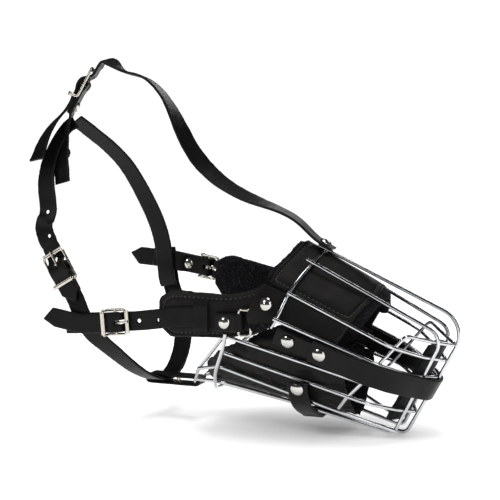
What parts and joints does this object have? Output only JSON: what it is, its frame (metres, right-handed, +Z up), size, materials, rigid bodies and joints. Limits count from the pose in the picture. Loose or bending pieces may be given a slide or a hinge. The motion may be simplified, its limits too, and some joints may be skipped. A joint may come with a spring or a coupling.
{
  "type": "basket muzzle",
  "caption": "Wire basket muzzle with leather nose pad, felt linings, chin strap and a buckled head harness for a large dog.",
  "frame": {"origin": "middle of the snout opening, in the plane of the basket's rear rim", "axes": "+X forward to the nose, +Y to the dog's left, +Z up"},
  "size_m": [0.334, 0.1494, 0.2858],
  "materials": {
    "basket_wire": "polished plating",
    "buckle_nickel": "polished nickel plating",
    "dome_rivet": "polished dome",
    "strap_leather": "semi-gloss",
    "pad_leather": "satin grain",
    "bumper_leather": "matte",
    "felt": "pressed felt"
  },
  "bodies": {
    "basket": {"wire_rim": "basket_wire", "wire_top_center": "basket_wire", "wire_top_right": "basket_wire", "wire_top_left": "basket_wire", "wire_side_hoop": "basket_wire", "wire_band_upper": "basket_wire", "wire_band_lower": "basket_wire", "wire_lower_hoop": "basket_wire", "wire_floor_right": "basket_wire", "wire_floor_left": "basket_wire", "wire_rear_hoop": "basket_wire", "wire_nose_arch": "basket_wire", "nose_pad_leather": "pad_leather", "nose_pad_felt": "felt", "nose_wing_right": "pad_leather", "nose_wing_left": "pad_leather", "front_band": "strap_leather", "band_anchor_right": "strap_leather", "band_anchor_left": "strap_leather", "front_bumper": "bumper_leather", "chin_lining": "felt", "chin_strap": "strap_leather", "cheek_pad_leather_right": "pad_leather", "cheek_pad_leather_left": "pad_leather", "cheek_pad_felt_right": "felt", "cheek_pad_felt_left": "felt", "cheek_keeper_right": "strap_leather", "cheek_keeper_left": "strap_leather", "cheek_link_strap_right": "strap_leather", "cheek_link_strap_left": "strap_leather", "cheek_strap_right": "strap_leather", "cheek_strap_left": "strap_leather", "cheek_buckle_tab_right": "strap_leather", "cheek_buckle_tab_left": "strap_leather", "collar_right": "strap_leather", "collar_left": "strap_leather", "collar_lower": "strap_leather", "crown_tab": "strap_leather", "forehead_strap": "strap_leather", "throat_loop": "strap_leather", "band_rivets": "dome_rivet", "chin_rivets": "dome_rivet", "wing_rivets": "dome_rivet", "cheek_rivets": "dome_rivet", "tab_rivets": "buckle_nickel", "crown_rivets": "dome_rivet", "throat_rivet": "buckle_nickel", "nose_strap_rivet": "dome_rivet"},
    "cheek_right_buckle_frame": {"cheek_right_buckle_frame": "buckle_nickel"},
    "cheek_right_buckle_prong": {"cheek_right_buckle_prong": "buckle_nickel"},
    "cheek_left_buckle_frame": {"cheek_left_buckle_frame": "buckle_nickel"},
    "cheek_left_buckle_prong": {"cheek_left_buckle_prong": "buckle_nickel"},
    "neck_buckle_frame": {"neck_buckle_frame": "buckle_nickel"},
    "neck_buckle_prong": {"neck_buckle_prong": "buckle_nickel"},
    "crown_buckle_frame": {"crown_buckle_frame": "buckle_nickel"},
    "crown_buckle_prong": {"crown_buckle_prong": "buckle_nickel"},
    "cheek_ring_right": {"cheek_ring_right": "buckle_nickel"},
    "cheek_ring_left": {"cheek_ring_left": "buckle_nickel"}
  },
  "joints": [
    {"name": "cheek_right_buckle_tilt", "type": "hinge", "parent": "basket", "child": "cheek_right_buckle_frame", "pos_m": [-0.1195, -0.0668, 0.001], "axis": [0.0801, 0, -0.9968], "range_deg": [-3, 3]},
    {"name": "cheek_right_prong_swing", "type": "hinge", "parent": "cheek_right_buckle_frame", "child": "cheek_right_buckle_prong", "pos_m": [-0.1195, -0.0668, 0.001], "axis": [0.0801, 0, -0.9968], "range_deg": [0, 12]},
    {"name": "cheek_left_buckle_tilt", "type": "hinge", "parent": "basket", "child": "cheek_left_buckle_frame", "pos_m": [-0.0985, 0.0668, 0.031], "axis": [0.165, 0, 0.9863], "range_deg": [-3, 3]},
    {"name": "cheek_left_prong_swing", "type": "hinge", "parent": "cheek_left_buckle_frame", "child": "cheek_left_buckle_prong", "pos_m": [-0.0985, 0.0668, 0.031], "axis": [0.165, 0, 0.9863], "range_deg": [0, 12]},
    {"name": "neck_buckle_tilt", "type": "hinge", "parent": "basket", "child": "neck_buckle_frame", "pos_m": [-0.168, -0.064, 0.04], "axis": [0.866, 0, 0.5], "range_deg": [-3, 3]},
    {"name": "neck_prong_swing", "type": "hinge", "parent": "neck_buckle_frame", "child": "neck_buckle_prong", "pos_m": [-0.168, -0.064, 0.04], "axis": [0.866, 0, 0.5], "range_deg": [0, 12]},
    {"name": "crown_buckle_tilt", "type": "hinge", "parent": "basket", "child": "crown_buckle_frame", "pos_m": [-0.175, -0.004, 0.182], "axis": [0.3224, -0.943, 0.0819], "range_deg": [-3, 3]},
    {"name": "crown_prong_swing", "type": "hinge", "parent": "crown_buckle_frame", "child": "crown_buckle_prong", "pos_m": [-0.175, -0.004, 0.182], "axis": [0.3224, -0.943, 0.0819], "range_deg": [0, 12]},
    {"name": "cheek_ring_right_swing", "type": "hinge", "parent": "basket", "child": "cheek_ring_right", "pos_m": [-0.02396, -0.05863, 0.004], "axis": [0, 0, -1], "range_deg": [-3, 3]},
    {"name": "cheek_ring_left_swing", "type": "hinge", "parent": "basket", "child": "cheek_ring_left", "pos_m": [-0.02429, 0.05863, 0.0128], "axis": [0.1564, 0, 0.9877], "range_deg": [-3, 3]}
  ]
}
